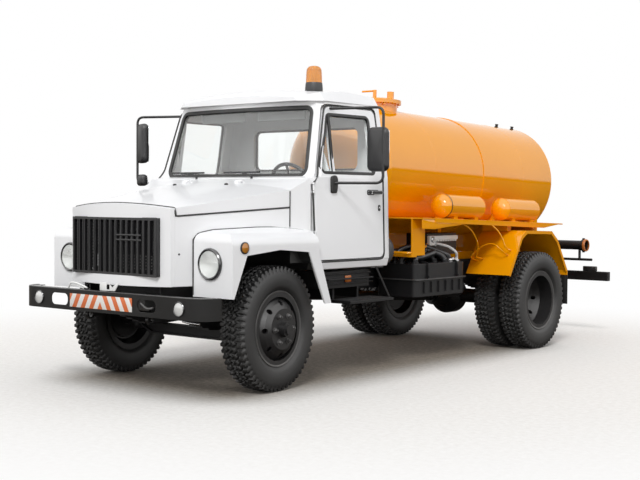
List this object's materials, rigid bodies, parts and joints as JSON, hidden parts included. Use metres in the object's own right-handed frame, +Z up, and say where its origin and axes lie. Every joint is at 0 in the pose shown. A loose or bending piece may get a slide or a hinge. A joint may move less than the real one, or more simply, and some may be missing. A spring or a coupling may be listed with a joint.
{
  "type": "tanker truck",
  "caption": "Four-wheeled bonneted truck with a round tilted tank, side vessels, a pump and a closed cab; its wheels roll and steer, its doors, bonnet and hatch open.",
  "frame": {"origin": "on the ground under the middle of the truck's length and width", "axes": "+Z up, +Y towards the rear, +X to the truck's left"},
  "size_m": [2.6056, 6.3182, 2.5638],
  "materials": {
    "cab_white": "gloss paint",
    "tank_orange": "gloss paint",
    "bed_orange": "gloss paint",
    "chassis_black": "satin paint",
    "wheel_black": "satin paint",
    "tyre_rubber": "matte rubber",
    "engine_grey": "cast and painted",
    "exhaust_steel": "dull steel",
    "black_plastic": "matte",
    "flap_rubber": "matte rubber",
    "window_glass": "clear",
    "seat_vinyl": "grained vinyl",
    "lamp_glass": "clear over a bright reflector",
    "suction_black": "satin paint"
  },
  "bodies": {
    "chassis": {"nose_panel": "cab_white", "flanks": "cab_white", "fender_left": "cab_white", "fender_right": "cab_white", "cab_back": "cab_white", "cab_floor": "cab_white", "cab_frame": "cab_white", "cowl": "cab_white", "cab_roof": "cab_white", "tank": "tank_orange", "side_shelves": "tank_orange", "vessels": "tank_orange", "mudguards": "tank_orange", "tank_bed": "bed_orange", "frame_rails": "chassis_black", "cross_members": "chassis_black", "front_axle_beam": "chassis_black", "springs": "chassis_black", "rear_axle": "chassis_black", "front_bumper": "chassis_black", "steps": "chassis_black", "fuel_tank": "chassis_black", "rear_beam": "chassis_black", "control_panel": "chassis_black", "drive_shaft": "chassis_black", "engine": "engine_grey", "radiator": "engine_grey", "pump": "engine_grey", "exhaust": "exhaust_steel", "grille": "black_plastic", "dashboard": "black_plastic", "steering_wheel": "black_plastic", "wipers": "black_plastic", "beacon": "black_plastic", "mud_flaps": "flap_rubber", "cab_glass": "window_glass", "seats": "seat_vinyl", "lamps": "lamp_glass", "suction_pipe": "suction_black"},
    "knuckle_left": {"knuckle_left": "chassis_black"},
    "knuckle_right": {"knuckle_right": "chassis_black"},
    "tie_rod": {"tie_rod": "chassis_black"},
    "wheel_front_left": {"wheel_front_left": "wheel_black", "tyre_front_left": "tyre_rubber"},
    "wheel_front_right": {"wheel_front_right": "wheel_black", "tyre_front_right": "tyre_rubber"},
    "wheel_rear_left": {"wheel_rear_left": "wheel_black", "tyres_rear_left": "tyre_rubber"},
    "wheel_rear_right": {"wheel_rear_right": "wheel_black", "tyres_rear_right": "tyre_rubber"},
    "door_left": {"door_left": "cab_white", "door_glass_left": "window_glass", "mirror_left": "black_plastic"},
    "door_right": {"door_right": "cab_white", "door_glass_right": "window_glass", "mirror_right": "black_plastic"},
    "bonnet": {"bonnet": "cab_white"},
    "hatch_lid": {"hatch_lid": "tank_orange"}
  },
  "joints": [
    {"name": "steer_left", "type": "hinge", "parent": "chassis", "child": "knuckle_left", "pos_m": [0.65, -2.23585, 0.482], "axis": [0, 0, 1], "range_deg": [-40, 30]},
    {"name": "steer_right", "type": "hinge", "parent": "chassis", "child": "knuckle_right", "pos_m": [-0.65, -2.23585, 0.482], "axis": [0, 0, 1], "range_deg": [-40, 30]},
    {"name": "tie_rod_swing", "type": "hinge", "parent": "knuckle_left", "child": "tie_rod", "pos_m": [0.63344, -2.04657, 0.354], "axis": [0, 0, 1], "range_deg": [-30, 40]},
    {"name": "roll_front_left", "type": "hinge", "parent": "knuckle_left", "child": "wheel_front_left", "pos_m": [0.81437, -2.22147, 0.482], "axis": [0.9962, 0.0872, 0], "continuous": true},
    {"name": "roll_front_right", "type": "hinge", "parent": "knuckle_right", "child": "wheel_front_right", "pos_m": [-0.81437, -2.25023, 0.482], "axis": [0.9962, 0.0872, 0], "continuous": true},
    {"name": "roll_rear_left", "type": "hinge", "parent": "chassis", "child": "wheel_rear_left", "pos_m": [0.845, 1.53415, 0.482], "axis": [1, 0, 0], "continuous": true},
    {"name": "roll_rear_right", "type": "hinge", "parent": "chassis", "child": "wheel_rear_right", "pos_m": [-0.845, 1.53415, 0.482], "axis": [1, 0, 0], "continuous": true},
    {"name": "door_left_hinge", "type": "hinge", "parent": "chassis", "child": "door_left", "pos_m": [0.942, -1.80785, 0.972], "axis": [0.0523, 0, -0.9986], "range_deg": [0, 66]},
    {"name": "door_right_hinge", "type": "hinge", "parent": "chassis", "child": "door_right", "pos_m": [-0.942, -1.80785, 0.972], "axis": [0.0523, 0, 0.9986], "range_deg": [0, 66]},
    {"name": "bonnet_hinge", "type": "hinge", "parent": "chassis", "child": "bonnet", "pos_m": [0, -2.01035, 1.613], "axis": [-1, 0, 0], "range_deg": [0, 50]},
    {"name": "hatch_hinge", "type": "hinge", "parent": "chassis", "child": "hatch_lid", "pos_m": [0, 0.48521, 2.40833], "axis": [-1, 0, 0], "range_deg": [0, 110]}
  ],
  "couplings": [
    {"joint": "steer_right", "follows": "steer_left", "ratio": 1},
    {"joint": "tie_rod_swing", "follows": "steer_left", "ratio": -1}
  ]
}
